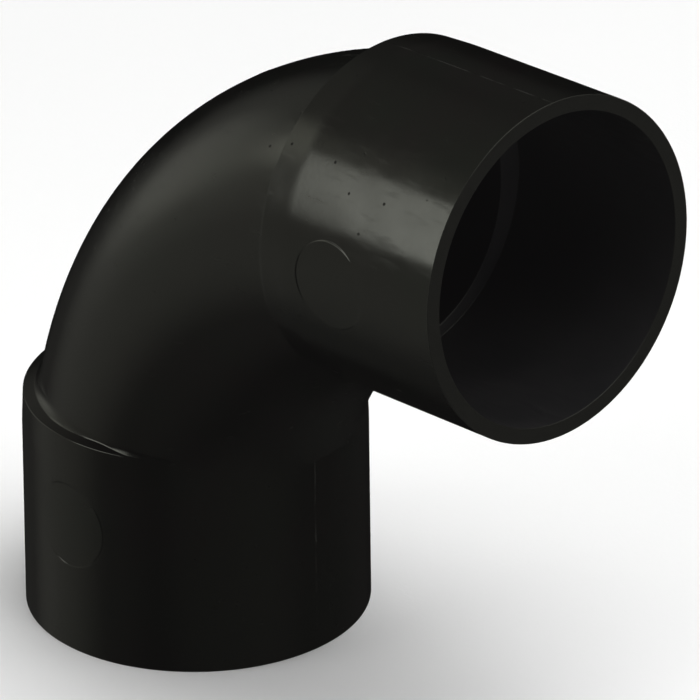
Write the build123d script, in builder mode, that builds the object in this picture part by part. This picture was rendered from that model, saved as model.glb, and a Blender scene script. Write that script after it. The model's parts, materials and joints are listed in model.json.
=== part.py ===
from build123d import *
import os
from math import cos, radians, sin, tan

# Solvent weld elbow for 32 mm waste pipe: one black moulding that turns the run by 87.5 degrees.
# Millimetres, +Z up. The elbow stands on its lower socket: the origin is the centre of that
# mouth, the lower pipe leaves along -Z, and the upper socket looks towards +X.
# Everything is symmetrical about the plane Y = 0, apart from the two flat pads on the -Y side.

# The pipe that is glued in, and the gap all round it that the cement fills.
pipe_diameter = 36.4
cement_gap = 0.1

# The two sockets are the same. The depth is measured from the mouth to the stop.
socket_depth = 25.0
socket_wall = 1.8
socket_draft = 0.18
lead_in = 0.3
rim_break = 0.4

# The ledge that stops the pipe, and the shoulder outside it, which slopes up to the tube.
stop_width = 2.8
stop_thickness = 2.0
shoulder_width = 1.35
shoulder_slope = 24.0
root_fillet = 1.0

# The swept tube. Its bend starts below the shoulder, with the centreline just outside the axis.
turn_angle = 87.5
bend_radius = 50.0
bend_shift = 0.8
bend_start_depth = 14.1

# The flat round pads that the mould's plugs leave on one side of each socket.
pad_diameter = 10.4
pad_height = 16.0
pad_sink = 0.3

bore_radius = pipe_diameter / 2 + cement_gap
socket_radius = bore_radius + socket_wall
shoulder_height = socket_depth + stop_thickness
mouth_radius = socket_radius + shoulder_height * tan(radians(socket_draft))
waterway_radius = bore_radius - stop_width
tube_radius = socket_radius - shoulder_width
shoulder_rise = (socket_radius - waterway_radius) * tan(radians(shoulder_slope))

# The bend's centre is as far from both axes, so it lies on the line that halves their angle.
bend_centre_x = bend_radius - bend_shift
bend_centre_z = shoulder_height - bend_start_depth
axis_height = bend_centre_z + bend_centre_x * tan(radians(turn_angle / 2))

# Both mouths, each with its own Z pointing into the fitting.
upper_axis = Vector(sin(radians(turn_angle)), 0, cos(radians(turn_angle)))
lower_mouth = Plane(origin=(0, 0, 0), x_dir=(1, 0, 0), z_dir=(0, 0, 1))
upper_mouth = Plane(
    origin=Vector(0, 0, axis_height) + upper_axis * axis_height,
    x_dir=upper_axis.cross(Vector(0, 1, 0)) * -1,
    z_dir=upper_axis * -1,
)

# One socket's outside: a drafted barrel with a broken edge at the mouth and a sloping shoulder.
with BuildPart() as socket_body:
    with BuildSketch(Plane.XZ):
        with BuildLine():
            Polyline(
                (0, 0),
                (mouth_radius - rim_break, 0),
                (mouth_radius, rim_break),
                (socket_radius, shoulder_height),
                (waterway_radius, shoulder_height + shoulder_rise),
                (0, shoulder_height + shoulder_rise),
                close=True,
            )
        make_face()
    revolve(axis=Axis.Z)

# One socket's inside: the bore that takes the pipe, down to the stop, with a lead-in at the mouth.
with BuildPart() as socket_bore:
    with BuildSketch(Plane.XZ):
        with BuildLine():
            Polyline(
                (0, 0),
                (bore_radius + lead_in, 0),
                (bore_radius, lead_in),
                (bore_radius, socket_depth),
                (0, socket_depth),
                close=True,
            )
        make_face()
    revolve(axis=Axis.Z)

# The bend's centreline, and the circle that is swept along it, for the tube and for the waterway.
with BuildLine(Plane.XZ) as bend_line:
    CenterArc((bend_centre_x, bend_centre_z), bend_radius, 180, -turn_angle)
bend_start = Plane(origin=(-bend_shift, 0, bend_centre_z), x_dir=(1, 0, 0), z_dir=(0, 0, 1))

with BuildPart() as tube:
    with BuildSketch(bend_start):
        Circle(tube_radius)
    sweep(path=bend_line.wire())

with BuildPart() as waterway:
    with BuildSketch(bend_start):
        Circle(waterway_radius)
    sweep(path=bend_line.wire())

with BuildPart() as elbow:
    add(tube.part)
    with Locations(lower_mouth.location, upper_mouth.location):
        add(socket_body.part)

    # The root where the tube rises out of each shoulder.
    tube_face = elbow.faces().filter_by(GeomType.TORUS).sort_by(SortBy.AREA)[-1]
    fillet(tube_face.edges().filter_by(GeomType.CIRCLE, reverse=True), radius=root_fillet)

    # A flat pad on the -Y side of each socket: its rim stands proud, its middle lies a little low.
    for mouth in (lower_mouth, upper_mouth):
        pad_centre = mouth.from_local_coords((0, 0, pad_height))
        pad_plane = Plane(
            origin=pad_centre + Vector(0, pad_sink - socket_radius, 0),
            x_dir=(1, 0, 0),
            z_dir=(0, -1, 0),
        )
        with BuildSketch(pad_plane):
            Circle(pad_diameter / 2)
        extrude(amount=-(socket_wall / 2))
        with BuildSketch(pad_plane):
            Circle(pad_diameter / 2)
        extrude(amount=socket_wall, mode=Mode.SUBTRACT)

    # The way through: a bore with its stop in each socket, and the curved waterway between.
    add(waterway.part, mode=Mode.SUBTRACT)
    with Locations(lower_mouth.location, upper_mouth.location):
        add(socket_bore.part, mode=Mode.SUBTRACT)

elbow.part.label = "elbow"
os.makedirs("parts", exist_ok=True)
export_step(elbow.part, "parts/elbow.step")
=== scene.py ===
# %% [markdown]
# # A black solvent weld elbow
# The object is one injection moulding in glossy black plastic: two plain sockets that pipes are
# glued into, and a swept tube that joins them and turns the run by 87.5 degrees.
# The lesson has three parts. First the skin of the moulding is worked out row by row, so that every
# edge has its true rounding and every highlight runs clean. Then comes the finish: gloss, flow,
# scuffs, dust and pits. Last come the floor, the camera and the lights of a product photograph.

# %% Load the frame
import json
import math

import bpy
import numpy as np
from mathutils import Matrix, Vector


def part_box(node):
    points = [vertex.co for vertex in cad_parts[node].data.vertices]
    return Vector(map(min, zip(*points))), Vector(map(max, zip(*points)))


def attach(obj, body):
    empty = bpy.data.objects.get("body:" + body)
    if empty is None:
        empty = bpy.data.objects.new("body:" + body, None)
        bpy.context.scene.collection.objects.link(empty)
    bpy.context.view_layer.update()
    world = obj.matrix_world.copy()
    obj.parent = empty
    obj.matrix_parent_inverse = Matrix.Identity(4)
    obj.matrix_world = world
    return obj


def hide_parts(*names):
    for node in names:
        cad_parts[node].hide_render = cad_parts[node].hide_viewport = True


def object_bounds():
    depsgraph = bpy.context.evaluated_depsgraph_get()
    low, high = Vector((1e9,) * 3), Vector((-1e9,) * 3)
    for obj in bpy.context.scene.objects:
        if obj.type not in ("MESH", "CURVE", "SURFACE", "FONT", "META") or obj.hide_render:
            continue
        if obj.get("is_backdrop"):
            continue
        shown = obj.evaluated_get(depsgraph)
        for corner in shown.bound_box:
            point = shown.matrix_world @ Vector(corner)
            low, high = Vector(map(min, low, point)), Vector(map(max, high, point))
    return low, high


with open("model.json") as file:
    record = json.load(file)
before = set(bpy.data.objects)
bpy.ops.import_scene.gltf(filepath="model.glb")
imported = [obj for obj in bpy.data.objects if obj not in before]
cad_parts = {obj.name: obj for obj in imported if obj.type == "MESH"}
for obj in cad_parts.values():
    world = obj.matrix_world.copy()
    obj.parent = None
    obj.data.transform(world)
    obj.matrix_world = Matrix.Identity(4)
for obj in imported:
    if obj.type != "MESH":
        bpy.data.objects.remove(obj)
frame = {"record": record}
cad_box = [list(corner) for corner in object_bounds()]
MM = 0.001


def in_mm(box, places=2):
    """The corners of a box in millimetres, rounded for reading."""
    return [[round(value / MM, places) for value in corner] for corner in box]


print("box of the solid, in mm:", in_mm(cad_box))

# %% [markdown]
# ## Sizes of the fitting
# Both sockets are alike, and the fitting is its own mirror image in the plane that halves the angle
# between them. So only the lower half is worked out, and the upper half is its reflection.
# What the frame already holds is read from it: the bore, the mouths and the way they look. The
# rest are the few sizes that a mould maker would write on the drawing, in metres.

# %% Sizes
mounts = {mount["name"]: mount for mount in frame["record"]["mounts"]}
upper_mouth = np.array(mounts["upper_socket"]["pos_m"])
upper_axis = np.array(mounts["upper_socket"]["axis"])
bore_radius = mounts["upper_socket"]["dims"]["r_mm"] * MM
mouth_radius = -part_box("elbow")[0][0]
turn = math.acos(upper_axis[2])
axis_height = upper_mouth[0] / upper_axis[0]

socket_depth = 25.0 * MM
socket_wall = 1.8 * MM
socket_radius = bore_radius + socket_wall
shoulder_height = 27.0 * MM
shoulder_slope = math.radians(24.0)
tube_radius = 18.75 * MM
waterway_radius = 15.5 * MM
bend_radius = 50.0 * MM
bend_shift = 0.8 * MM

bend_centre_x = bend_radius - bend_shift
bend_centre_z = axis_height - bend_centre_x * math.tan(turn / 2)
draft = math.atan((mouth_radius - socket_radius) / shoulder_height)
neck_height = 22.6 * MM
neck_blend = 1.2 * MM
neck_slope = math.tan(math.radians(2.4))
print("turn in degrees:", round(math.degrees(turn), 2))
print("height of the upper axis in mm:", round(axis_height / MM, 2))

# %% [markdown]
# ## Roundings
# No moulded edge is truly sharp, and on black gloss the roundings are what the eye reads: each one
# draws a thin bright line. The root where the tube leaves the shoulder is the largest, 2.4 mm on
# the outside of the bend and 1 mm in the narrow throat inside it. Its hollow does not run out
# flush with the shoulder but meets it in a faint crease, where the mould's inserts join. The
# edges of the shoulder and of the mouth are nearly crisp, a sixth of a millimetre or less.

# %% Roundings
root_rounding = 2.4 * MM
throat_rounding = 1.0 * MM
root_crease = math.radians(26)
shoulder_rounding = 0.16 * MM
rim_rounding = 0.1 * MM
lead_in_rounding = 0.1 * MM
stop_rounding = 0.12 * MM
lip_rounding = 0.15 * MM
outer_roundings = (root_rounding, shoulder_rounding, rim_rounding)
print("root, shoulder and rim, in mm:", [round(size / MM, 2) for size in outer_roundings])

# %% [markdown]
# ## Columns round the moulding
# The skin is a net of rows and columns. A column is an angle round the socket or round the tube,
# with zero facing the inside of the bend. They are evenly spaced, apart from a few more beside
# the parting line, where the two halves of the mould leave a ridge much finer than one column.

# %% Columns
even_columns = 160
parting_offsets = np.array([0.05, 0.1, 0.16, 0.26]) * MM / socket_radius
even = np.arange(even_columns) * 2 * math.pi / even_columns
sides = [(side, sign) for side in (0, math.pi) for sign in (1, -1)]
beside = np.concatenate([side + sign * parting_offsets for side, sign in sides])
columns = np.sort(np.concatenate([even, beside]) % (2 * math.pi))
print("columns:", len(columns))


# %% [markdown]
# ## The bent tube
# A point of the tube is given by how far round the bend it lies, which way it faces out of the
# centreline, and its distance from that line. One function serves the outside of the tube and
# the waterway inside it. It returns the point and the direction it faces, and that direction
# goes on the mesh as its normal, so that the shading is exact and not guessed from the faces.

# %% A point of the bend
def bend_point(along, facing, distance):
    """Points at an angle along the bend, at an angle round the tube, and the way they face."""
    toward = np.cos(facing)
    direction = np.stack([toward * np.cos(along), np.sin(facing), -toward * np.sin(along)], -1)
    reach = bend_radius - distance * toward
    point = np.stack(
        [
            bend_centre_x - reach * np.cos(along),
            distance * np.sin(facing),
            bend_centre_z + reach * np.sin(along),
        ],
        -1,
    )
    return point, direction


def around(angle, radius, height, out, up):
    """Points of a turned surface at an angle round the socket's axis, and the way they face."""
    point = np.stack([radius * np.cos(angle), radius * np.sin(angle), height + 0 * angle], -1)
    direction = np.stack([out * np.cos(angle), out * np.sin(angle), up + 0 * angle], -1)
    return point, direction


middle_point, _ = bend_point(np.array([turn / 2]), np.array([math.pi]), tube_radius)
print("outside of the bend, in mm:", np.round(middle_point / MM, 2))


# %% [markdown]
# ## The outline of a socket
# Seen from the side, the outside of a socket is a barrel that narrows a little from its mouth, a
# crisp edge, and a shoulder that slopes up to the tube. Over its last few millimetres, where the
# wall is thickest inside, the barrel is drawn in by about a sixth of a millimetre. That is too
# little to see by itself, but it is what ends the long highlight before the edge. The outline is
# measured by its length from the mouth, so that rows are placed along it as on a straight line.

# %% The outline of a socket
def barrel_at(height):
    """Radius of the barrel at a height above the mouth, and how fast it narrows there."""
    into_neck = np.clip((height - neck_height) / neck_blend, 0, 1)
    beyond = np.maximum(height - neck_height - neck_blend, 0)
    drawn_in = neck_slope * (neck_blend * into_neck ** 2 / 2 + beyond)
    radius = mouth_radius - height * math.tan(draft) - drawn_in
    return radius, math.tan(draft) + neck_slope * into_neck


edge_radius, edge_slope = barrel_at(shoulder_height)
barrel_facing = np.array([1.0, edge_slope]) / math.hypot(1, edge_slope)
shoulder_facing = np.array([math.sin(shoulder_slope), math.cos(shoulder_slope)])
edge_turn = math.acos(barrel_facing @ shoulder_facing)
edge_point = np.array([edge_radius, shoulder_height])
both_facings = np.stack([barrel_facing, shoulder_facing])
edge_centre = edge_point - np.linalg.solve(both_facings, np.full(2, shoulder_rounding))
barrel_end = edge_centre + barrel_facing * shoulder_rounding
shoulder_start = edge_centre + shoulder_facing * shoulder_rounding
barrel_length = barrel_end[1]
edge_length = barrel_length + shoulder_rounding * edge_turn


def turned(facing, angle):
    """Directions of the outline, turned from the barrel's towards the shoulder's."""
    cos, sin = np.cos(angle)[..., None], np.sin(angle)[..., None]
    return facing * cos + np.array([-facing[1], facing[0]]) * sin


def outline(length):
    """Radius and height on the socket's outline at a length from the mouth, and its facing."""
    length = np.asarray(length, float)
    radius, slope = barrel_at(length)
    on_barrel = np.stack([radius, length], -1)
    on_barrel_facing = np.stack([np.ones_like(slope), slope], -1) / np.hypot(1, slope)[..., None]
    edge_facing = turned(barrel_facing, (length - barrel_length) / shoulder_rounding)
    on_edge = edge_centre + edge_facing * shoulder_rounding
    up_shoulder = np.array([-shoulder_facing[1], shoulder_facing[0]])
    on_shoulder = shoulder_start + up_shoulder * (length - edge_length)[..., None]
    before, after = (length < barrel_length)[..., None], (length > edge_length)[..., None]
    point = np.where(before, on_barrel, np.where(after, on_shoulder, on_edge))
    facing = np.where(before, on_barrel_facing, np.where(after, shoulder_facing, edge_facing))
    return point, facing


print("the barrel is drawn in by, in mm:", round((socket_radius - edge_radius) / MM, 3))


# %% [markdown]
# ## The root of the tube
# Where the tube leaves the shoulder the moulding has a hollow rounding all the way round, and on
# the outside of the bend it catches the long bright crescent of the photograph. It
# could be bevelled on, but the tube leans out of the socket, so the width of the ledge changes
# from side to side and runs out altogether inside the bend. A ball that rolls in the corner
# gives the right shape everywhere: for each column, the ball's centre is found by halving an
# interval, and the places where it touches the socket and the tube bound the rounding.

# %% Distance from the socket
def clearance(point):
    """Distance from the outside of the socket, the way to it, and where along the outline it is."""
    flat = np.stack([np.hypot(point[:, 0], point[:, 1]), point[:, 2]], -1)
    reach = flat - edge_centre
    from_barrel, from_shoulder = reach @ barrel_facing, reach @ shoulder_facing
    past_barrel = reach @ np.array([-barrel_facing[1], barrel_facing[0]])
    past_shoulder = reach @ np.array([shoulder_facing[1], -shoulder_facing[0]])
    span = np.linalg.norm(reach, axis=1)
    at_edge = (past_barrel > 0) & (past_shoulder > 0)
    at_barrel = ~at_edge & (from_barrel >= from_shoulder)
    distance = np.where(at_edge, span, np.maximum(from_barrel, from_shoulder)) - shoulder_rounding
    facing = np.where(at_barrel[:, None], barrel_facing, shoulder_facing)
    facing = np.where(at_edge[:, None], reach / span[:, None], facing)
    swing = np.arccos(np.clip(facing @ barrel_facing, -1, 1)) * shoulder_rounding
    length = barrel_length + np.where(at_edge, swing, np.where(at_barrel, past_barrel, 0))
    length = np.where(~at_edge & ~at_barrel, edge_length - past_shoulder, length)
    return distance, facing, length


beside_edge = np.array([[edge_radius + 1 * MM, 0.0, shoulder_height]])
print("clearance 1 mm outside the edge, in mm:", round(clearance(beside_edge)[0][0] / MM, 3))

# %% The rolling ball
halvings = 48


def halve(too_far):
    """How far round the bend each column may go, by halving what is left again and again."""
    low = np.zeros(len(columns))
    high = np.full(len(columns), turn / 2)
    for _ in range(halvings):
        along = (low + high) / 2
        beyond = too_far(along)
        high = np.where(beyond, along, high)
        low = np.where(beyond, low, along)
    return along


def roll_ball(radius, gap):
    """How far round the bend a ball on the tube sits, where its centre is a gap off the socket."""
    reach = tube_radius + radius
    return halve(lambda along: clearance(bend_point(along, columns, reach)[0])[0] > gap)


small_ball = np.degrees(roll_ball(throat_rounding, throat_rounding))
print("a small ball sits this far round the bend, in degrees:", np.round(small_ball[::44], 1))


# %% [markdown]
# ## One rounding for each column
# A tiny ball is rolled first, only to measure how much bare ledge each column has. Where the ledge
# is wide the large rounding and its crease are used, where it runs out the small one, and a
# smooth step leads from one to the other. The crease comes from letting the ball sink a
# little into the shoulder, so that the hollow is cut off before it lies flat.

# %% The root's rounding, column by column
tiny = 0.3 * MM
narrow_ledge = 0.1 * MM
ledge_fade = 0.7 * MM


def smooth(value):
    """A smooth step from 0 to 1."""
    value = np.clip(value, 0, 1)
    return value * value * (3 - 2 * value)


tiny_ball, _ = bend_point(roll_ball(tiny, tiny), columns, tube_radius + tiny)
bare_ledge = clearance(tiny_ball)[2] - edge_length
has_ledge = smooth((bare_ledge - narrow_ledge) / ledge_fade)
rounding = throat_rounding + (root_rounding - throat_rounding) * has_ledge
crease = root_crease * has_ledge
ball_along = roll_ball(rounding, rounding * np.cos(crease))
ball, tube_facing = bend_point(ball_along, columns, tube_radius + rounding)
_, socket_facing, touch_length = clearance(ball)
touch_angle = np.unwrap(np.arctan2(ball[:, 1], ball[:, 0]) % (2 * math.pi))
foot_length = touch_length + rounding * np.sin(crease)
print("ledge outside the root, in mm:", np.round((foot_length - edge_length)[::40] / MM, 2))


# %% [markdown]
# ## Rows of the outside
# A row is one loop of points round the moulding. Rows are close together on the roundings and far
# apart on the barrel. Near the shoulder the columns swing over from angles round the socket to
# angles round the tube, and inside the bend, where the ledge runs out, the rows of the edge are
# squeezed down a little, so that they never cross the rounding of the root.

# %% Helpers for rows
def between(first, last, share):
    """Directions that swing from one to the other along the shortest arc."""
    cosine = np.clip(np.sum(first * last, -1, keepdims=True), -1, 1)
    angle = np.maximum(np.arccos(cosine), 1e-9)
    return (np.sin((1 - share) * angle) * first + np.sin(share * angle) * last) / np.sin(angle)


def quarter(centre, radius, first, last, steps):
    """Rows of a small turned rounding, from one facing angle to another, in degrees."""
    rows = []
    for angle in np.radians(np.linspace(first, last, steps)):
        out, up = math.cos(angle), math.sin(angle)
        rows.append(around(columns, centre[0] + radius * out, centre[1] + radius * up, out, up))
    return rows


halfway = between(np.array([1.0, 0.0]), np.array([0.0, 1.0]), 0.5)
print("halfway from out to up:", np.round(halfway, 3))

# %% Where the rows lie
rim_steps = 7
swing_start = 24.6 * MM
before_edge = 0.05 * MM
first_lengths = np.linspace(0.9, 8.7, 9) * MM
neck_lengths = neck_height + np.array([-0.1, 0.0, 0.2, 0.4, 0.7, 1.0, 1.2, 1.3]) * MM
pad_height = 16.0 * MM
pad_step = 0.72 * MM
pad_half_rows = 9
rim_centre = (mouth_radius - rim_rounding, rim_rounding)
rim_rows = quarter(rim_centre, rim_rounding, -90, math.degrees(draft), rim_steps)
pad_lengths = pad_height + pad_step * np.arange(-pad_half_rows, pad_half_rows + 1)
barrel_lengths = np.concatenate([first_lengths, pad_lengths, neck_lengths])
edge_lengths = np.concatenate([
    np.linspace(swing_start, barrel_length - before_edge, 5),
    np.linspace(barrel_length, edge_length, 5),
])
row_counts = (rim_steps, len(barrel_lengths), len(edge_lengths))
print("rows of the rim, the barrel and the edge:", row_counts)

# %% Rows from the mouth to the root
ledge_steps = 6
least_ledge = 0.03 * MM
outside = list(rim_rows)
for length in barrel_lengths:
    (radius, height), (out, up) = outline(length)
    outside.append(around(columns, radius, height, out, up))
first_pad_row = len(rim_rows) + len(first_lengths)

ledge = np.maximum(foot_length - edge_length, least_ledge)
squeeze = (foot_length - swing_start) / (edge_length + ledge - swing_start)
swing_end = np.minimum(barrel_length, foot_length)
row_lengths = [np.full(len(columns), length) for length in edge_lengths]
row_lengths += [edge_length + ledge * step / ledge_steps for step in range(1, ledge_steps)]
for length in row_lengths:
    length = swing_start + (length - swing_start) * squeeze
    flat, facing = outline(length)
    share = smooth((length - barrel_lengths[-1]) / (swing_end - barrel_lengths[-1]))
    angle = columns + (touch_angle - columns) * share
    outside.append(around(angle, flat[:, 0], flat[:, 1], facing[:, 0], facing[:, 1]))
print("rows up to the root:", len(outside))

# %% Rows of the root and the tube
root_steps = 9
tube_steps = 44
out, up = socket_facing[:, 0], socket_facing[:, 1]
along_socket = np.stack([out * np.cos(touch_angle), out * np.sin(touch_angle), up], -1)
root_turn = np.arccos(np.clip(np.sum(along_socket * tube_facing, -1), -1, 1))
foot_share = (crease / root_turn)[:, None]
for share in np.linspace(0, 1, root_steps):
    facing = between(along_socket, tube_facing, foot_share + (1 - foot_share) * share)
    outside.append((ball - facing * rounding[:, None], facing))
for share in np.linspace(0, 1, tube_steps)[1:]:
    outside.append(bend_point(ball_along + (turn / 2 - ball_along) * share, columns, tube_radius))
print("rows of the outside:", len(outside))


# %% [markdown]
# ## Rows of the inside
# Inside each mouth the bore takes the pipe down to a ledge, and from the ledge's rounded lip the
# narrower waterway runs round the bend. The corner at the stop and the lead-in at the mouth are
# turned, so they are simple arcs. The lip is cut by the curved waterway, so it is found with a
# rolling ball again, this time inside the plastic.

# %% Rows of the lead-in, the bore and the stop
lead_in_steps = 6
bore_steps = 24
stop_steps = 6
after_lead_in = 0.15 * MM
before_stop = 0.1 * MM


def hollow(centre, radius, steps):
    """Rows of a turned hollow rounding, from the bore's wall to the ledge."""
    rows = []
    for angle in np.linspace(0, math.pi / 2, steps):
        out, up = math.cos(angle), math.sin(angle)
        rows.append(around(columns, centre[0] + radius * out, centre[1] + radius * up, -out, -up))
    return rows


lead_in_centre = (bore_radius + lead_in_rounding, lead_in_rounding)
inside = quarter(lead_in_centre, lead_in_rounding, -90, -180, lead_in_steps)
bore_start = lead_in_rounding + after_lead_in
bore_end = socket_depth - stop_rounding - before_stop
for height in np.linspace(bore_start, bore_end, bore_steps):
    inside.append(around(columns, bore_radius, height, -1, 0))
stop_centre = (bore_radius - stop_rounding, socket_depth - stop_rounding)
inside += hollow(stop_centre, stop_rounding, stop_steps)
print("rows down to the stop:", len(inside))

# %% Rows of the lip and the waterway
lip_steps = 7
ledge_shares = np.linspace(0, 1, 5)[1:-1]
waterway_steps = 36
lip_reach = waterway_radius + lip_rounding
lip_height = socket_depth + lip_rounding
lip_along = halve(lambda along: bend_point(along, columns, lip_reach)[0][:, 2] > lip_height)
lip_ball, lip_facing = bend_point(lip_along, columns, lip_reach)

ledge_facing = np.tile([0.0, 0.0, -1.0], (len(columns), 1))
ledge_outer = inside[-1][0]
ledge_inner = lip_ball + ledge_facing * lip_rounding
for share in ledge_shares:
    inside.append((ledge_outer + (ledge_inner - ledge_outer) * share, ledge_facing))
for share in np.linspace(0, 1, lip_steps):
    facing = between(ledge_facing, -lip_facing, share)
    inside.append((lip_ball + facing * lip_rounding, facing))
for share in np.linspace(0, 1, waterway_steps)[1:]:
    point, facing = bend_point(lip_along + (turn / 2 - lip_along) * share, columns, waterway_radius)
    inside.append((point, -facing))
print("rows of the inside:", len(inside))

# %% [markdown]
# ## The parting line
# The two halves of the mould meet in the middle plane and leave a ridge a few hundredths of a
# millimetre high along the outside. It is real shape, not only shading, so each row is lifted
# by it. Its height wanders, as the steel of a mould in use never closes evenly, and it dies away
# towards the mouths.

# %% The parting line
ridge_height = 0.04 * MM
ridge_half_width = 0.14 * MM
wander_length = 7.0 * MM
mean_share, slow_share, quick_share = 0.62, 0.25, 0.13


def lift_ridge(point, facing):
    """Raises the outside of the moulding beside the middle plane, and tilts its facing to suit."""
    across = np.clip(point[:, 1] / ridge_half_width, -1, 1)
    run = (point[:, 0] + point[:, 2]) / wander_length
    slow, quick = np.sin(run * 2 * math.pi), np.sin(run * 5.3 * math.pi)
    wander = mean_share + slow_share * slow + quick_share * quick
    on_barrel = point[:, 2] < shoulder_height
    near_mouth = np.minimum(ridge_height, point[:, 2] * math.tan(draft))
    height = np.where(on_barrel, near_mouth, ridge_height) * wander
    rise = height * (1 - across ** 2) ** 2
    slope = -4 * height * across * (1 - across ** 2) / ridge_half_width
    sideways = np.array([0.0, 1.0, 0.0]) - facing * facing[:, 1:2]
    tilted = facing - sideways * slope[:, None]
    return point + facing * rise[:, None], tilted / np.linalg.norm(tilted, axis=1)[:, None]


outside = [lift_ridge(point, facing) for point, facing in outside]
print("greatest height of the ridge, in mm:", ridge_height / MM)

# %% [markdown]
# ## The flat pads
# One side of each socket carries a round pad, the end of a plug in the mould. The plug was ground
# almost to the curve of the barrel, so the pad is only gently flattened: some six hundredths of a
# millimetre proud at its sides, nine low in its middle, with a fine groove for an outline.
# A boolean cut would leave ragged faces on the gloss, so a square patch of the net is taken out
# and filled with rings that pass from the square to the circle, and a grid pressed into a round.

# %% The height of the pad
pad_radius = 5.2 * MM
pad_sink = 0.3 * MM
pad_flatness = 0.27
pad_edge = 0.16 * MM
witness_depth = 0.009 * MM
witness_width = 0.06 * MM
probe = 0.002 * MM


def pad_depth(x, z):
    """Where the skin lies across the socket, on the pad and on the barrel beside it."""
    barrel = -np.sqrt((mouth_radius - z * math.tan(draft)) ** 2 - x ** 2)
    from_middle = np.hypot(x, z - pad_height)
    share = smooth((pad_radius + pad_edge / 2 - from_middle) / pad_edge)
    witness = np.exp(-(((from_middle - pad_radius - pad_edge / 2) / witness_width) ** 2))
    flat = pad_flatness * (pad_sink - socket_radius - barrel)
    return barrel + flat * share + witness_depth * witness


def pad_skin(x, z):
    """Points of the pad and the way they face, from the slope of its height."""
    slope_x = (pad_depth(x + probe, z) - pad_depth(x - probe, z)) / (2 * probe)
    slope_z = (pad_depth(x, z + probe) - pad_depth(x, z - probe)) / (2 * probe)
    facing = np.stack([slope_x, -np.ones_like(x), slope_z], -1)
    length = np.linalg.norm(facing, axis=-1)[..., None]
    return np.stack([x, pad_depth(x, z), z], -1), facing / length


for off in (0.0, 0.9 * pad_radius):
    barrel = -math.sqrt((mouth_radius - pad_height * math.tan(draft)) ** 2 - off ** 2)
    low_by = pad_depth(np.array([off]), np.array([pad_height]))[0] - barrel
    print("mm from the pad's middle:", round(off / MM, 1), "low by:", round(low_by / MM, 3))

# %% [markdown]
# ## The skin of the lower half
# Now the rows are joined into four-sided faces, from the middle of the bend on the inside, out
# over the mouth, and back to the middle of the bend on the outside.

# %% The skin of the lower half
rows = inside[::-1] + outside
row_count, column_count = len(rows), len(columns)
points = np.concatenate([point for point, _ in rows])
facings = np.concatenate([facing for _, facing in rows])
net = np.arange(row_count * column_count).reshape(row_count, column_count)

pad_column = int(np.argmin(np.abs(columns - 1.5 * math.pi)))
pad_row = len(inside) + first_pad_row + pad_half_rows
span = np.arange(-pad_half_rows, pad_half_rows + 1)
patch = net[np.ix_(pad_row + span, pad_column + span)]

quads = []
for row in range(row_count - 1):
    for column in range(column_count):
        in_rows = pad_row - pad_half_rows <= row < pad_row + pad_half_rows
        in_columns = pad_column - pad_half_rows <= column < pad_column + pad_half_rows
        if in_rows and in_columns:
            continue
        after = (column + 1) % column_count
        quads.append((net[row, column], net[row, after], net[row + 1, after], net[row + 1, column]))
print("faces so far:", len(quads))


# %% [markdown]
# ## The pad in its patch
# The hole in the net is a square of eighteen by eighteen faces. Rings lead from its border in to
# the pad's outline, packed close where the step is, and every ring has as many points as the
# border, so that all faces stay four-sided. The middle is the same square, pressed round.

# %% The square and the round
def border(square):
    """The outer entries of a square array, once round, anticlockwise from the lower left corner."""
    return np.concatenate([square[0, :-1], square[:-1, -1], square[-1, :0:-1], square[:0:-1, 0]])


along, up = np.meshgrid(span / pad_half_rows, span / pad_half_rows)
round_x = along * np.sqrt(1 - up ** 2 / 2)
round_z = up * np.sqrt(1 - along ** 2 / 2)
rim_x, rim_z = border(round_x), border(round_z)
patch_border = border(patch)
print("points round the patch:", len(patch_border))

# %% Rings of the pad
outer_rings = [0.45, 0.26, 0.2, 0.16, 0.12, 0.08, 0.05, 0.02]
inner_rings = [-0.01, -0.04, -0.07, -0.1, -0.2]
ring_offsets = np.array(outer_rings + inner_rings) * MM
loops = [patch_border]
extra_points, extra_facings = [], []
next_index = len(points)


def add_loop(x, z):
    """Adds a loop of points on the pad's skin and joins it to the loop before it."""
    global next_index
    point, facing = pad_skin(x, z)
    extra_points.append(point)
    extra_facings.append(facing)
    loop = np.arange(next_index, next_index + len(x))
    next_index += len(x)
    before = loops[-1]
    for here in range(len(x)):
        there = (here + 1) % len(x)
        quads.append((before[here], before[there], loop[there], loop[here]))
    loops.append(loop)


first_ring = pad_radius + ring_offsets[0]
add_loop(
    (points[patch_border, 0] + rim_x * first_ring) / 2,
    (points[patch_border, 2] + pad_height + rim_z * first_ring) / 2,
)
for offset in ring_offsets:
    add_loop(rim_x * (pad_radius + offset), pad_height + rim_z * (pad_radius + offset))
print("rings of the pad:", len(loops) - 1)

# %% The middle of the pad
inner = pad_radius + ring_offsets[-1]
core_x, core_z = round_x[1:-1, 1:-1] * inner, pad_height + round_z[1:-1, 1:-1] * inner
core_point, core_facing = pad_skin(core_x.ravel(), core_z.ravel())
extra_points.append(core_point)
extra_facings.append(core_facing)
disc = np.empty((len(span), len(span)), int)
disc[1:-1, 1:-1] = np.arange(next_index, next_index + core_x.size).reshape(core_x.shape)
disc[0, :-1], disc[:-1, -1] = np.split(loops[-1], 4)[:2]
disc[-1, :0:-1], disc[:0:-1, 0] = np.split(loops[-1], 4)[2:]
for low_row in range(len(span) - 1):
    for column in range(len(span) - 1):
        corners = disc[low_row:low_row + 2, column:column + 2]
        quads.append((corners[0, 0], corners[0, 1], corners[1, 1], corners[1, 0]))

points = np.concatenate([points] + extra_points)
facings = np.concatenate([facings] + extra_facings)
print("faces of the lower half:", len(quads))

# %% [markdown]
# ## The whole moulding
# The upper half is the lower one, seen in a mirror that stands across the bend. The first and last
# rows lie in that mirror, so both halves share them and the skin closes with no seam.

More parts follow.
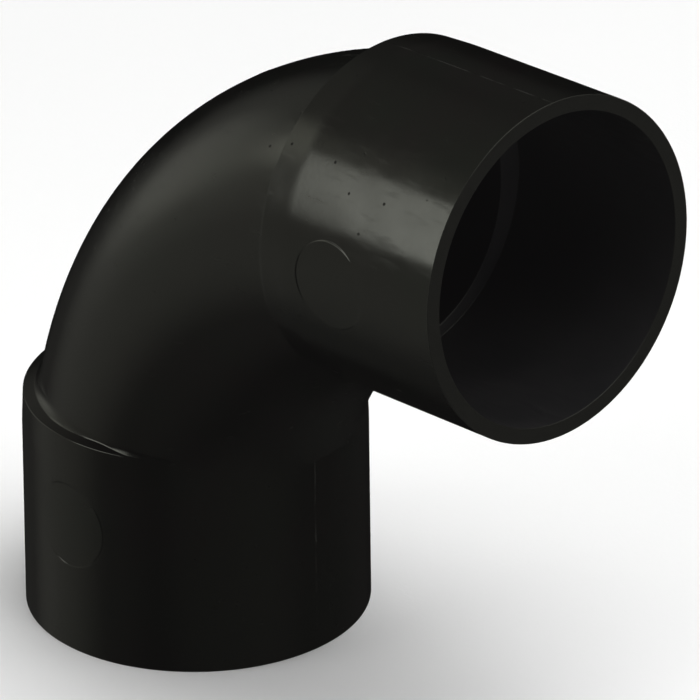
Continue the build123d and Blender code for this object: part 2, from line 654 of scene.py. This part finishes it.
# %% Reflect the lower half
mirror_facing = np.array([math.sin(turn / 2), 0.0, math.cos(turn / 2)])
mirror_point = np.array([0.0, 0.0, axis_height])
lower_count = len(points)
on_mirror = np.zeros(lower_count, bool)
on_mirror[net[0]] = True
on_mirror[net[-1]] = True

reflected = points - 2 * ((points - mirror_point) @ mirror_facing)[:, None] * mirror_facing
reflected_facings = facings - 2 * (facings @ mirror_facing)[:, None] * mirror_facing
partner = np.arange(lower_count)
partner[~on_mirror] = lower_count + np.arange(np.count_nonzero(~on_mirror))

lower_quads = np.array(quads)
upper_quads = partner[lower_quads][:, ::-1]
all_points = np.concatenate([points, reflected[~on_mirror]])
all_facings = np.concatenate([facings, reflected_facings[~on_mirror]])
all_quads = np.concatenate([lower_quads, upper_quads])
used = np.unique(all_quads)
place = np.zeros(len(all_points), int)
place[used] = np.arange(len(used))
print("points:", len(used), "faces:", len(all_quads))

# %% [markdown]
# ## From arrays to an object
# The points and faces become one mesh. It is shaded smooth, and the facings that were worked out
# with the points are set as its own normals, so a rounding of a few faces reflects like a true
# arc. The last lines tie the moulding to the frame: it rides on the one body, and it takes the
# place of the plain solid.

# %% Make the mesh
mesh = bpy.data.meshes.new("elbow_moulding")
mesh.from_pydata(all_points[used].tolist(), [], place[all_quads].tolist())
mesh.shade_smooth()
mesh.normals_split_custom_set_from_vertices(all_facings[used].tolist())
mesh.validate()
moulding = bpy.data.objects.new("elbow_moulding", mesh)
bpy.context.scene.collection.objects.link(moulding)
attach(moulding, "root")
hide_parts("elbow")
print("triangles:", sum(len(polygon.vertices) - 2 for polygon in mesh.polygons))

# %% [markdown]
# ## Black plastic
# The fitting is black all through, so nothing shows but its skin. A plain black with one gloss
# value would look like a rendering: the real skin has slow drifts of shade and gloss where the
# melt cooled unevenly, a fine grain that breaks up every highlight, pits, and dust. All of it
# is made with noise in three dimensions, so it runs on over every edge with no seam, and
# needs no picture. Base, gloss and height get one small cell each.

# %% A new material
def make_material(name, black, roughness, tint):
    """A plain glossy material, with its shader and the coordinates it is laid out in."""
    material = bpy.data.materials.new(name)
    material.use_nodes = True
    nodes = material.node_tree.nodes
    shader = nodes["Principled BSDF"]
    shader.inputs["Base Color"].default_value = (*black, 1)
    shader.inputs["Roughness"].default_value = roughness
    shader.inputs["Specular Tint"].default_value = (*tint, 1)
    place = nodes.new("ShaderNodeTexCoord").outputs["Object"]
    return material, shader, place


def link(material, start, end):
    """Joins the output of one node to the input of another."""
    material.node_tree.links.new(start, end)


print("made: a helper for a material, and one that joins its nodes")

# %% [markdown]
# ## Building blocks of a finish
# Every finish here is made of the same few blocks, so each block gets a small helper: spread a
# value over a range, combine two values, cloudy noise, scattered spots, a colour between two,
# and a height that becomes a bump of a real depth. Noise hovers round a half, so the limits
# that it is spread between decide how much of it counts.

# %% Helpers for values
def remap(material, value, low, high, to_low=0.0, to_high=1.0):
    """Spreads the part of a value between two limits over a new range."""
    node = material.node_tree.nodes.new("ShaderNodeMapRange")
    node.inputs["From Min"].default_value = low
    node.inputs["From Max"].default_value = high
    node.inputs["To Min"].default_value = to_low
    node.inputs["To Max"].default_value = to_high
    link(material, value, node.inputs["Value"])
    return node.outputs["Result"]


def combine(material, operation, first, second):
    """Adds, multiplies or compares two values; either may be a plain number."""
    node = material.node_tree.nodes.new("ShaderNodeMath")
    node.operation = operation
    for socket, value in zip(node.inputs, (first, second)):
        if isinstance(value, (int, float)):
            socket.default_value = value
        else:
            link(material, value, socket)
    return node.outputs["Value"]


print("made: helpers that spread a value and combine two")


# %% Helpers for patterns
def noise(material, place, size, detail=3.0, stretch=(1, 1, 1)):
    """Cloudy noise whose patches are about the given size, stretched along the axes."""
    nodes = material.node_tree.nodes
    mapping = nodes.new("ShaderNodeMapping")
    mapping.inputs["Scale"].default_value = [1 / (size * share) for share in stretch]
    link(material, place, mapping.inputs["Vector"])
    texture = nodes.new("ShaderNodeTexNoise")
    texture.inputs["Scale"].default_value = 1.0
    texture.inputs["Detail"].default_value = detail
    link(material, mapping.outputs["Vector"], texture.inputs["Vector"])
    return texture.outputs["Fac"]


def spots(material, place, spacing, size, below_white):
    """Round spots in those cells of a jumbled grid whose random grey is close to white."""
    nodes = material.node_tree.nodes
    cells = nodes.new("ShaderNodeTexVoronoi")
    cells.inputs["Scale"].default_value = 1 / spacing
    link(material, place, cells.inputs["Vector"])
    limit = 1 - below_white
    chosen = remap(material, cells.outputs["Color"], limit, limit + 0.01)
    round_spot = remap(material, cells.outputs["Distance"], size / spacing, 0.5 * size / spacing)
    return combine(material, "MULTIPLY", chosen, round_spot)


print("made: helpers for clouds and spots")


# %% Helpers for colour and height
def tone(material, share, dark, light):
    """A colour between two, by a share."""
    mix = material.node_tree.nodes.new("ShaderNodeMix")
    mix.data_type = "RGBA"
    mix.inputs["A"].default_value = (*dark, 1)
    mix.inputs["B"].default_value = (*light, 1)
    link(material, share, mix.inputs["Factor"])
    return mix.outputs["Result"]


def press(material, height, depth, before=None):
    """Turns a height into bumps of a real depth, in metres."""
    bump = material.node_tree.nodes.new("ShaderNodeBump")
    bump.inputs["Strength"].default_value = 1.0
    bump.inputs["Distance"].default_value = depth
    link(material, height, bump.inputs["Height"])
    if before is not None:
        link(material, before, bump.inputs["Normal"])
    return bump.outputs["Normal"]


print("made: helpers for a colour and for a bump")

# %% [markdown]
# ## Shade
# The plastic is very dark: it sends back only two or three thousandths of the light as colour, and
# everything else that is seen is gloss. The colour still drifts between a warm and a green black
# over a centimetre or so, from the way the pigment spread in the melt. Here and there sits a
# speck of dust, a small round spot in one cell out of forty of a jumbled grid.

# %% Outside: shade
black = (0.0022, 0.0022, 0.0019)
warm_black = (0.0026, 0.0021, 0.0019)
green_black = (0.0021, 0.0026, 0.0018)
gloss_tint = (0.97, 1.0, 0.86)
plain_roughness = 0.17
drift_size = 11 * MM
drift_limits = (0.36, 0.66)
dust_spacing, dust_size, dust_below_white = 2.3 * MM, 0.07 * MM, 0.12

plastic, shader, place = make_material("black_plastic", black, plain_roughness, gloss_tint)
drift = remap(plastic, noise(plastic, place, drift_size), *drift_limits)
shade = tone(plastic, drift, warm_black, green_black)
dust = spots(plastic, place, dust_spacing, dust_size, dust_below_white)
print("share of light the black sends back:", black)

# %% [markdown]
# ## The parting line pales
# The ridge where the mould's halves meet is the first thing that rubs in a box of fittings, so its
# crest is paler than the rest, but only in stretches. The middle plane is where Y is zero, so
# the distance from it finds the ridge, and a noise breaks the line up.

# %% Outside: the parting line pales
rubbed_grey = (0.046, 0.046, 0.042)
line_from, line_to = 0.13 * MM, 0.04 * MM
stretch_size = 4 * MM
stretch_limits = (0.46, 0.6)
line_strength = 0.35

across = plastic.node_tree.nodes.new("ShaderNodeSeparateXYZ")
link(plastic, place, across.inputs["Vector"])
from_line = combine(plastic, "ABSOLUTE", across.outputs["Y"], 0.0)
near_line = remap(plastic, from_line, line_from, line_to)
broken = remap(plastic, noise(plastic, place, stretch_size, 4.0), *stretch_limits)
pale_line = combine(plastic, "MULTIPLY", near_line, broken)
pale = combine(plastic, "MAXIMUM", combine(plastic, "MULTIPLY", pale_line, line_strength), dust)
pale_mix = plastic.node_tree.nodes.new("ShaderNodeMix")
pale_mix.data_type = "RGBA"
pale_mix.inputs["B"].default_value = (*rubbed_grey, 1)
link(plastic, pale, pale_mix.inputs["Factor"])
link(plastic, shade, pale_mix.inputs["A"])
link(plastic, pale_mix.outputs["Result"], shader.inputs["Base Color"])
print("nodes for the shade:", len(plastic.node_tree.nodes))

# %% [markdown]
# ## Gloss
# The skin copies the polish of the steel, so it is glossy, but never evenly. Clouds some six
# millimetres wide make it a little duller or brighter, and thin scuffs a few millimetres long
# show where other fittings have slid past. The scuffs are noise stretched along X, which is
# the way the upper socket looks.

# %% Outside: gloss
cloud_size = 6 * MM
cloud_limits = (0.35, 0.65)
cloud_roughness = (0.145, 0.215)
scuff_size = 1.6 * MM
scuff_stretch = (3.0, 0.6, 0.6)
scuff_limits = (0.56, 0.72)
scuff_roughness = (0.0, 0.1)

cloud_noise = noise(plastic, place, cloud_size, 4.0)
clouds = remap(plastic, cloud_noise, *cloud_limits, *cloud_roughness)
scuff_noise = noise(plastic, place, scuff_size, 5.0, scuff_stretch)
rubbed = remap(plastic, scuff_noise, *scuff_limits, *scuff_roughness)
link(plastic, combine(plastic, "ADD", clouds, rubbed), shader.inputs["Roughness"])
print("nodes with the gloss:", len(plastic.node_tree.nodes))

# %% [markdown]
# ## The height of the skin
# Three layers of height, each with its real depth. The slow one, a hundredth of a millimetre
# over half a centimetre, is how the wall sank as it cooled, and it makes the edge of the long
# highlight wander. The fine grain softens it. The pits are bubbles and grit, a third of a
# millimetre wide at most and many of them far less. A pit also swallows most of its own
# reflection, which is why it shows as a dark speck.

# %% Outside: the height of the skin
wave_size, wave_depth = 5 * MM, 0.012 * MM
grain_size, grain_depth = 0.45 * MM, 0.0034 * MM
pit_spacing, pit_size, pit_below_white = 1.7 * MM, 0.18 * MM, 0.34
pit_depth = 0.05 * MM
skin_reflection, pit_reflection = 0.5, 0.08

wavy = press(plastic, noise(plastic, place, wave_size, 1.0), wave_depth)
grain = press(plastic, noise(plastic, place, grain_size, 3.0), grain_depth, wavy)
pit = spots(plastic, place, pit_spacing, pit_size, pit_below_white)
link(plastic, press(plastic, pit, -pit_depth, grain), shader.inputs["Normal"])
reflection = remap(plastic, pit, 0, 1, skin_reflection, pit_reflection)
link(plastic, reflection, shader.inputs["Specular IOR Level"])
mesh.materials.append(plastic)
print("nodes with the skin:", len(plastic.node_tree.nodes))

# %% [markdown]
# ## Inside
# The inside is shaped by a core that is pulled out while the plastic is still warm. That leaves a
# duller, slightly greyer wall with faint lines along the pull. Its black is also set some five
# times paler than the outside's, and that part is painted light: it lifts the deep shade in the
# bore. It gets a material of its own, with the same building blocks: a noise stretched six times
# along X, which is the way the core of the upper socket is pulled. The lower one is in the dark,
# as the fitting stands on it.

# %% Inside
# The lining blacks are partly the duller drawn wall, partly painted light that lifts the bore's
# shade.
lining_black_and_painted_light = (0.011, 0.011, 0.011)
dark_lining_and_painted_light, pale_lining_and_painted_light = (0.009, 0.009, 0.0095), (0.013, 0.0125, 0.013)
line_size, line_depth = 0.8 * MM, 0.004 * MM
line_stretch = (6.0, 1.0, 1.0)
line_limits = (0.3, 0.7)
lining_drift_size = 9 * MM
plain_dullness = 0.42
lining_roughness = (0.36, 0.5)

lining, lining_shader, place = make_material(
    "black_plastic_inside", lining_black_and_painted_light, plain_dullness, gloss_tint
)
drawn = noise(lining, place, line_size, 4.0, line_stretch)
drift = remap(lining, noise(lining, place, lining_drift_size), *drift_limits)
# This grey carries painted light as well as its own drift of tone.
grey = tone(lining, drift, dark_lining_and_painted_light, pale_lining_and_painted_light)
link(lining, grey, lining_shader.inputs["Base Color"])
dullness = remap(lining, drawn, *line_limits, *lining_roughness)
link(lining, dullness, lining_shader.inputs["Roughness"])
link(lining, press(lining, drawn, line_depth), lining_shader.inputs["Normal"])
mesh.materials.append(lining)
print("nodes of the lining:", len(lining.node_tree.nodes))

# %% [markdown]
# ## Rims
# The flat ring of each mouth is what the fitting stands on, in the box and on the bench, so it
# has lost its shine and looks a little paler than the barrel. Its material differs from the
# others in that: a lighter black, a rough gloss and a fine even scuffing.

# %% Rims
rim_black = (0.006, 0.006, 0.0052)
dark_rim, pale_rim = (0.0045, 0.0045, 0.0038), (0.0085, 0.0085, 0.0072)
rim_scuff_size, rim_scuff_depth = 0.4 * MM, 0.003 * MM
plain_wear = 0.45
rim_roughness = (0.38, 0.52)

rim, rim_shader, place = make_material("black_plastic_rim", rim_black, plain_wear, gloss_tint)
scuffs = noise(rim, place, rim_scuff_size, 4.0)
paler = tone(rim, scuffs, dark_rim, pale_rim)
link(rim, paler, rim_shader.inputs["Base Color"])
wear = remap(rim, scuffs, *cloud_limits, *rim_roughness)
link(rim, wear, rim_shader.inputs["Roughness"])
link(rim, press(rim, scuffs, rim_scuff_depth), rim_shader.inputs["Normal"])
mesh.materials.append(rim)
print("nodes of the rim:", len(rim.node_tree.nodes))

# %% [markdown]
# ## Which face gets which finish
# The rows of the net still tell where each point came from. A face whose corners all lie in the
# rows of the inside gets the lining, and the few rows round each mouth get the rim's finish.

# %% Finish of each face
def faces_within(first_row, last_row):
    """Whether each face lies in a band of rows, in the lower half or in its reflection."""
    band = net[first_row:last_row + 1].ravel()
    within = np.zeros(len(all_points), bool)
    within[band] = True
    within[partner[band]] = True
    return within[all_quads].all(1)


finish = np.zeros(len(all_quads), int)
finish[faces_within(0, len(inside) - 1)] = 1
finish[faces_within(len(inside) - lead_in_steps + 1, len(inside) + rim_steps - 1)] = 2
mesh.polygons.foreach_set("material_index", finish.tolist())
print("faces outside, inside and on the rims:", np.bincount(finish).tolist())

# %% [markdown]
# ## Paper to stand on
# The fitting stands on a wide sheet of pale paper, as small goods are photographed. It is a plain
# square, large enough that its edge is never near the picture, and it is staged, so it is no
# part of the object. Even paper is not one flat white, so it has a very faint cloudiness and a
# tooth a few hundredths of a millimetre deep.

# %% Floor
floor_half = 1.5
corners = [(-floor_half, -floor_half), (floor_half, -floor_half)]
corners += [(floor_half, floor_half), (-floor_half, floor_half)]
floor_mesh = bpy.data.meshes.new("floor")
floor_mesh.from_pydata([(x, y, 0) for x, y in corners], [], [(0, 1, 2, 3)])
floor = bpy.data.objects.new("floor", floor_mesh)
bpy.context.scene.collection.objects.link(floor)
floor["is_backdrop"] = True

paper_white, dim_white, clear_white = (0.88, 0.88, 0.88), (0.87, 0.87, 0.87), (0.89, 0.89, 0.89)
paper_roughness = 0.9
no_tint = (1, 1, 1)
cloudy_size = 60 * MM
tooth_size, tooth_depth = 0.5 * MM, 0.02 * MM
paper, paper_shader, place = make_material(
    "pale_paper", paper_white, paper_roughness, no_tint
)
cloudy = noise(paper, place, cloudy_size, 2.0)
white = tone(paper, cloudy, dim_white, clear_white)
link(paper, white, paper_shader.inputs["Base Color"])
tooth = press(paper, noise(paper, place, tooth_size, 2.0), tooth_depth)
link(paper, tooth, paper_shader.inputs["Normal"])
floor_mesh.materials.append(paper)
print("width of the paper in m:", 2 * floor_half)

# %% [markdown]
# ## The camera
# The photograph was taken from a little over a metre away with a long lens, from the front right
# and well above, which keeps the far socket almost as large as the near one. The numbers come
# from laying the outline of the model over the outline in the picture. The camera is aimed at
# a point inside the fitting, then slid a few millimetres sideways and up without turning it.

# %% Camera
azimuth = 0.8136
elevation = 0.4636
roll = -0.0104
target = np.array([0.01809, 0.0, 0.03015])
camera_distance = 1.24184
lens = 557.69
sensor = 36.0
slide_right = 0.005485
slide_up = 0.006887

back = np.array([
    math.sin(azimuth) * math.cos(elevation),
    -math.cos(azimuth) * math.cos(elevation),
    math.sin(elevation),
])
level_right = np.array([math.cos(azimuth), math.sin(azimuth), 0.0])
level_up = np.cross(back, level_right)
right = math.cos(roll) * level_right + math.sin(roll) * level_up
up = -math.sin(roll) * level_right + math.cos(roll) * level_up
place_of_camera = target + back * camera_distance + right * slide_right + up * slide_up
camera_data = bpy.data.cameras.new("camera")
camera_data.lens = lens
camera_data.sensor_width = sensor
camera = bpy.data.objects.new("camera", camera_data)
camera.matrix_world = Matrix((
    (right[0], up[0], back[0], place_of_camera[0]),
    (right[1], up[1], back[1], place_of_camera[1]),
    (right[2], up[2], back[2], place_of_camera[2]),
    (0, 0, 0, 1),
))
bpy.context.scene.collection.objects.link(camera)
bpy.context.scene.camera = camera
print("camera at, in m:", [round(float(value), 3) for value in place_of_camera])

# %% [markdown]
# ## Soft lights and a dim room
# Black gloss is lit by what it mirrors, so each light is placed for the one reflection it makes.
# The key is a small soft window close on the left: it draws the long highlight on the upper
# socket. The overhead panel brightens the tops. The wash only whitens the paper and is kept
# out of reflections. The back panel edges the far side. The last lamp shines straight in at the
# upper mouth, so that it only grazes the walls but reaches the ledge that stops the pipe.

# %% Helpers for lights
lit_point = Vector((0.03, 0, 0.045))


def direction(azimuth, elevation):
    """A direction from the fitting, in degrees round from -Y towards +X, and up."""
    azimuth, elevation = math.radians(azimuth), math.radians(elevation)
    level = math.cos(elevation)
    return Vector((math.sin(azimuth) * level, -math.cos(azimuth) * level, math.sin(elevation)))


def soft_light(name, azimuth, elevation, distance, width, height, radiance, lean):
    """A rectangular soft light that looks at the fitting, with the brightness of its face."""
    data = bpy.data.lights.new(name, "AREA")
    data.shape = "RECTANGLE"
    data.size = width
    data.size_y = height
    data.energy = radiance * math.pi * width * height
    away = direction(azimuth, elevation)
    light = bpy.data.objects.new(name, data)
    light.location = lit_point + away * distance
    leaned = Matrix.Rotation(math.radians(lean), 3, "Z")
    light.rotation_euler = (away.to_track_quat("Z", "Y").to_matrix() @ leaned).to_euler()
    light.visible_camera = False
    bpy.context.scene.collection.objects.link(light)
    return light


print("the lights look at, in mm:", [round(value / MM) for value in lit_point])

# %% Lights
# Name, azimuth, elevation, distance, width, height, radiance, lean, and whether it is mirrored.
lamps = [
    ("key", -28.5, 25.2, 0.32, 0.17, 0.178, 2.65, 15.3, True),
    ("overhead", 130, 74, 1.3, 1.3, 1.3, 0.8, 0, True),
    ("wash", 130, 76, 1.3, 1.4, 1.4, 3.2, 0, False),
    ("back", 118, 32, 0.9, 0.5, 0.5, 1.6, 0, True),
    ("mouth", 90, 2.5, 1.2, 0.12, 0.12, 60, 0, False),
]
for *lamp, mirrored in lamps:
    soft_light(*lamp).visible_glossy = mirrored
print("lights:", len(bpy.data.lights))

# %% [markdown]
# ## The glow of the room
# Between the lights a real studio is never black: walls and ceiling give back a broad dim glow, and
# that glow is what models the bend. The world's brightness is the sum of nine soft patches. A
# patch is bright where a direction lies close to the patch's own, which their dot product tells.
# The walls are a warm white, and that gives the greys on the black their olive cast.

# %% One glow of the room
wall_white = (1.0, 1.0, 0.91)
world = bpy.data.worlds.new("studio")
world.use_nodes = True
bpy.context.scene.world = world
studio = world.node_tree
background = studio.nodes["Background"]
background.inputs["Color"].default_value = (*wall_white, 1)
seen = studio.nodes.new("ShaderNodeTexCoord")


def glow(azimuth, elevation, spread, strength, before):
    """A broad soft glow of the room in one direction, added to the glows before it."""
    toward = studio.nodes.new("ShaderNodeVectorMath")
    toward.operation = "DOT_PRODUCT"
    toward.inputs[1].default_value = direction(azimuth, elevation)
    studio.links.new(seen.outputs["Generated"], toward.inputs[0])
    fade = studio.nodes.new("ShaderNodeMapRange")
    fade.interpolation_type = "SMOOTHSTEP"
    fade.inputs["From Min"].default_value = math.cos(math.radians(spread))
    fade.inputs["To Max"].default_value = strength
    studio.links.new(toward.outputs["Value"], fade.inputs["Value"])
    if before is None:
        return fade.outputs["Result"]
    total = studio.nodes.new("ShaderNodeMath")
    studio.links.new(before, total.inputs[0])
    studio.links.new(fade.outputs["Result"], total.inputs[1])
    return total.outputs["Value"]


print("colour of the walls' light:", wall_white)

# %% The room
# Azimuth, elevation, spread and strength of each glow.
glows = [
    (-80, 20, 42, 0.2),
    (-84, 6, 19, 0.25),
    (-55, -5, 45, 0.195),
    (-67, 25, 14, 0.85),
    (-90, -27, 32, 0.037),
    (70, -30, 50, 0.05),
    (140, -40, 70, 0.025),
    (-30, -35, 50, 0.05),
    (-155, 45, 45, 0.065),
]
even_glow = 0.001

brightness = None
for patch_of_light in glows:
    brightness = glow(*patch_of_light, brightness)
room = studio.nodes.new("ShaderNodeMath")
room.inputs[1].default_value = even_glow
studio.links.new(brightness, room.inputs[0])
studio.links.new(room.outputs["Value"], background.inputs["Strength"])
floor.visible_glossy = False
print("nodes of the room:", len(studio.nodes))

# %% [markdown]
# ## The veil of the lens
# With so much white paper round it, no lens draws a black as zero: stray light lays a thin even
# veil over the picture, some three thousandths of white. The shade deep in the mouth shows how
# strong it is, and lowering the black level by the same amount brings it in.

# %% The view
veil = (0.0032, 0.003, 0.0031)
view = bpy.context.scene.view_settings
view.view_transform = "Standard"
view.use_curve_mapping = True
view.curve_mapping.black_level = [-share for share in veil]
view.curve_mapping.update()
print("veil:", [round(-level, 4) for level in view.curve_mapping.black_level])

# %% [markdown]
# ## Measure
# The box round the finished moulding should be the box of the solid it stands for, to within a few
# hundredths of a millimetre.

# %% Sizes
sizes = {"cad": cad_box, "visual": [list(corner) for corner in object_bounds()]}
for name, box in sizes.items():
    print("box,", name, "in mm:", in_mm(box, 3))
